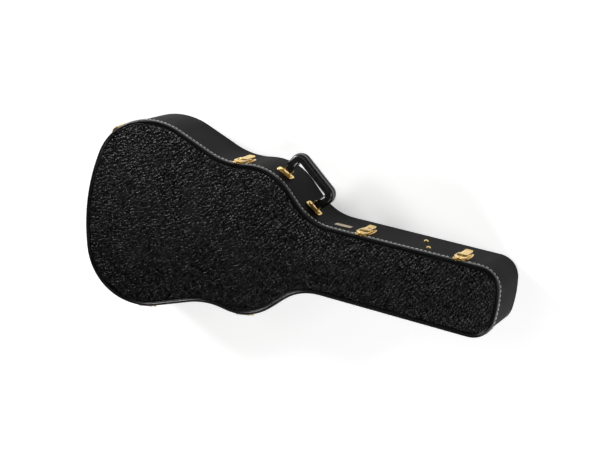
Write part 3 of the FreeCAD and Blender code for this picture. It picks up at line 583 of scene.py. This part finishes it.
def pad(node, name, slot, body, voxel, shrink, cap, tall=1.0, pressure=4.0, subdivide=True):
    """A plush-covered pad that replaces a CAD solid and stays in its space."""
    obj = remeshed(node, name, voxel * MM, tall)
    low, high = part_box(node)
    points = coordinates(obj.data) - vertex_normals(obj.data) * shrink * MM
    set_coordinates(obj.data, points)
    inflate(obj, pressure, cap, low.z)
    if subdivide:
        smooth = obj.modifiers.new("Smooth", "SUBSURF")
        smooth.levels = smooth.render_levels = 1
        bake_modifiers(obj)
    finish_piece(obj, slot, body, 70)
    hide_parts(node)
    return obj


def build_interior():
    pad("body_pad_latch_side", "side_cushion_latch", "plush_foam", "base", 5, 1.6, 3.0)
    pad("body_pad_hinge_side", "side_cushion_hinge", "plush_foam", "base", 5, 1.6, 3.0)
    pad("neck_cradle", "neck_rest", "plush_foam", "base", 4, 1.8, 3.5)
    pad("head_pad", "head_cushion", "plush_foam", "base", 4.5, 1.6, 3.0)
    pad("floor_pad", "floor_cushion", "plush_foam", "base", 6, 0.5, 1.2,
        tall=4, pressure=1.5, subdivide=False)
    pad("lid_pad", "lid_cushion", "plush_foam", "lid", 6, 0.8, 1.6, tall=3, pressure=1.5, subdivide=False)
    pad("box_lid", "compartment_lid", "plush", "box_cover", 2.6, 0.3, 0.8, tall=3, pressure=1.5,
        subdivide=False)
    for end in ("body", "head"):
        pad("box_wall_%s_end" % end, "compartment_wall_%s" % end, "plush", "base", 2.5, 0.2, 0.5,
            pressure=1.0, subdivide=False)
    lining = rounded_profile([(9.2, 6.2, 0), (9.2, 118.0, 0), (11.2, 118.0, 1), (11.2, 6.2, 0)], 1.2)
    base = ring_piece("base_plush", lining, "plush", "base", ripple=0.0002, seed=3)
    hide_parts("base_lining")
    lining = rounded_profile([(6.2, 136.0, 0.5), (6.2, 151.0, 0), (8.2, 151.0, 0), (8.2, 136.0, 1)], 1.0)
    lid = ring_piece("lid_plush", lining, "plush", "lid", ripple=0.0002, seed=4)
    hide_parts("lid_lining")
    build_tab()


def build_tab():
    """Folded ribbon that lifts the compartment's lid."""
    low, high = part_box("box_lid_tab")
    edge, top = high.y, low.z
    spine = [(-19, 0.4), (-13, 0.7), (-7.5, 3.0), (-4.2, 7.5), (-2.6, 11.5), (-3.2, 13.4), (-4.9, 13.2),
             (-6.4, 9.6), (-9.5, 5.0), (-14, 1.9), (-19, 1.6)]
    verts, faces, across = [], [], 7
    for y, z in spine:
        for k in range(across):
            t = k / (across - 1)
            wave = 0.25 * MM * math.sin(9 * t + y)
            verts.append((low.x + (high.x - low.x) * t, edge + y * MM, top + z * MM + wave))
    for i in range(len(spine) - 1):
        for k in range(across - 1):
            a = i * across + k
            faces.append((a, a + 1, a + across + 1, a + across))
    tab = link_mesh("ribbon_tab", verts, faces, "ribbon", "box_cover", 80)
    smooth = tab.modifiers.new("Smooth", "SUBSURF")
    smooth.levels = smooth.render_levels = 2
    thick = tab.modifiers.new("Thick", "SOLIDIFY")
    thick.thickness = 0.7 * MM
    thick.offset = 0
    bake_modifiers(tab)
    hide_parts("box_lid_tab")


# ---------------------------------------------------------------- hardware

JOINTS = {j["name"]: j for j in frame["joints"]}
LATCHES = ("butt", "waist", "neck", "head")
PIVOT_OUT, PIVOT_LEVEL = 6.2, 115.0
DOME_LEVEL, KEY_LEVEL, SWELL_LEVEL = 144, 91, 88
RING_OUT, SWELL_OUT = 8.75, 8.5


def latch_point(tag, x, y, z):
    """Point in a latch's own frame: x along the wall, y out of it, z up, in millimetres."""
    joint = JOINTS["latch_%s_swing" % tag]
    along = Vector(joint["axis"])
    out = Vector((0, 0, 1)).cross(along)
    return (Vector(joint["pos_m"]) + (along * x + out * (y - PIVOT_OUT)) * MM
            + Vector((0, 0, (z - PIVOT_LEVEL) * MM)))


def latch_loop(name, tag, body, section, spine, slot="gold_hardware"):
    """Closed bead: a round section carried along a closed line of (x, y, z) points."""
    count, sides = len(spine), 8
    verts, faces = [], []
    for i in range(count):
        here, after = Vector(spine[i]), Vector(spine[(i + 1) % count]) - Vector(spine[i - 1])
        along = after.normalized()
        normal = Vector((0, 1, 0))
        side = along.cross(normal).normalized()
        for k in range(sides):
            angle = 2 * math.pi * k / sides
            verts.append(latch_point(tag, *(here + side * math.cos(angle) * section[0]
                                            + normal * math.sin(angle) * section[1])))
    for i in range(count):
        for k in range(sides):
            a, b = i * sides + k, i * sides + (k + 1) % sides
            c, d = (i + 1) % count * sides + k, (i + 1) % count * sides + (k + 1) % sides
            faces.append((a, b, d, c))
    return link_mesh(name, verts, faces, slot, body, 80)


def oval(half_x, half_z, power=2.0, count=36):
    points = []
    for i in range(count):
        angle = 2 * math.pi * i / count
        c, s = math.cos(angle), math.sin(angle)
        points.append((half_x * math.copysign(abs(c) ** (2 / power), c),
                       half_z * math.copysign(abs(s) ** (2 / power), s)))
    return points


def pillow(name, tag, body, centre, half_x, half_z, high, power=2.6, slot="gold_hardware"):
    """Low pressed swelling that stands on a latch part's outer face."""
    rings, verts, faces = 7, [], []
    edge = oval(half_x, half_z, power)
    for r in range(rings):
        t = r / (rings - 1)
        share, rise = math.cos(t * math.pi / 2), math.sin(t * math.pi / 2)
        if r == rings - 1:
            verts.append(latch_point(tag, centre[0], centre[1] + high, centre[2]))
            break
        for x, z in edge:
            verts.append(latch_point(tag, centre[0] + x * share, centre[1] - 0.3 + (high + 0.3) * rise,
                                     centre[2] + z * share))
    count = len(edge)
    for r in range(rings - 2):
        for k in range(count):
            a, b = r * count + k, r * count + (k + 1) % count
            faces.append((a, b, b + count, a + count))
    top = (rings - 1) * count
    faces += [((rings - 2) * count + k, (rings - 2) * count + (k + 1) % count, top) for k in range(count)]
    faces.append(tuple(range(count)))
    return link_mesh(name, verts, faces, slot, body, 60)


def build_latch_details():
    for tag in LATCHES:
        lever, hasp = "latch_%s_lever" % tag, "latch_%s_hasp" % tag
        ring = [(x, RING_OUT, DOME_LEVEL + z) for x, z in oval(5.4, 5.4)]
        latch_loop("latch_%s_dome_ring" % tag, tag, hasp, (0.7, 0.7), ring)
        if tag == "neck":
            border = [(x, RING_OUT, KEY_LEVEL + z) for x, z in oval(5.6, 5.6)]
            latch_loop("latch_neck_key_ring", tag, lever, (0.9, 0.8), border)
        else:
            pillow("latch_%s_lever_swell" % tag, tag, lever, (0, SWELL_OUT, SWELL_LEVEL), 6.6, 11.0, 1.5)


def soften_edges():
    """Weld and bevel the CAD hardware so its edges catch the light."""
    sizes = {"gold_hardware": 0.35, "plate_brass": 0.25, "lock_brass": 0.2}
    for name, obj in NODES.items():
        size = sizes.get(SLOT_OF[name])
        if size and not name.endswith("rivets") and name != "cradle_studs":
            weld = obj.modifiers.new("Weld", "WELD")
            weld.merge_threshold = 0.00001
            bevel = obj.modifiers.new("Bevel", "BEVEL")
            bevel.width = size * MM
            bevel.segments = 2
            bevel.limit_method = "ANGLE"
            bevel.angle_limit = math.radians(38)


build_face()
build_rim()
build_stitches()
build_interior()
build_latch_details()
soften_edges()


# ---------------------------------------------------------------- stage

FLOOR_GLOW = 0.5


def pale_floor():
    """Plain white floor that also gives off some light of its own."""
    mat, nodes, links = new_material("Floor")
    at = coords(nodes, links)
    bsdf = shader(nodes, links, Roughness=0.9, Emission_Color=(1.0, 1.0, 1.0, 1.0),
                  Emission_Strength=FLOOR_GLOW)
    links.new(ramp(nodes, links, noise(nodes, links, at, 2.0, 2.0), [(0.3, 0.92), (0.7, 0.95)]),
              bsdf.inputs["Base Color"])
    bm = bmesh.new()
    bmesh.ops.create_grid(bm, x_segments=1, y_segments=1, size=14.0)
    mesh = bpy.data.meshes.new("Floor")
    bm.to_mesh(mesh)
    bm.free()
    floor = bpy.data.objects.new("Floor", mesh)
    floor.data.materials.append(mat)
    bpy.context.collection.objects.link(floor)
    floor.location.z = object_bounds()[0][2] - 0.0005


def studio_light(name, azimuth, elevation, power, size=1.2, distance=3.5):
    """Soft box that looks at the case from an angle round it and an angle up from the floor."""
    light = bpy.data.lights.new(name, "AREA")
    light.shape = "SQUARE"
    light.size = size
    light.energy = power
    obj = bpy.data.objects.new(name, light)
    turn, rise = math.radians(azimuth), math.radians(elevation)
    aim = Vector((0, 0, 0.1))
    away = Vector((math.cos(rise) * math.cos(turn), math.cos(rise) * math.sin(turn), math.sin(rise)))
    obj.location = aim + away * distance
    obj.rotation_euler = away.to_track_quat("Z", "Y").to_euler()
    bpy.context.collection.objects.link(obj)


CAMERA_PLACE = Vector((1.4221, 1.0393, 3.6065))
CAMERA_AIM = Vector((-0.36044, -0.25195, -0.89811))
CAMERA_RIGHT = Vector((0.90274, 0.14816, -0.40387))
CAMERA_LENS = 36.0 * 1641.6 / 600.0


def camera():
    data = bpy.data.cameras.new("Camera")
    data.sensor_width = 36.0
    data.lens = CAMERA_LENS
    obj = bpy.data.objects.new("Camera", data)
    back = -CAMERA_AIM.normalized()
    right = (CAMERA_RIGHT - CAMERA_RIGHT.dot(back) * back).normalized()
    up = back.cross(right)
    turn = Matrix((right, up, back)).transposed()
    obj.matrix_world = Matrix.Translation(CAMERA_PLACE) @ turn.to_4x4()
    bpy.context.collection.objects.link(obj)
    bpy.context.scene.camera = obj


def studio_sky():
    """Dim grey near the horizon and almost black overhead."""
    world = bpy.data.worlds.new("World")
    world.use_nodes = True
    nodes, links = world.node_tree.nodes, world.node_tree.links
    at = nodes.new("ShaderNodeTexCoord")
    split = nodes.new("ShaderNodeSeparateXYZ")
    links.new(at.outputs["Generated"], split.inputs[0])
    sky = ramp(nodes, links, split.outputs["Z"], [(0.0, 0.15), (0.25, 0.12), (0.5, 0.02), (1.0, 0.01)])
    links.new(sky, nodes["Background"].inputs["Color"])
    nodes["Background"].inputs["Strength"].default_value = 1.0
    bpy.context.scene.world = world


pale_floor()
studio_sky()
for row in (
        ("Key", 155, 25, 105),
        ("Head", 0, 50, 18),
        ("Top", 135, 70, 6),
        ("LowHead", 315, 25, 36),
        ("LowSide", 300, 40, 26),
):
    studio_light(*row)
bpy.context.scene.view_settings.view_transform = "Standard"
camera()
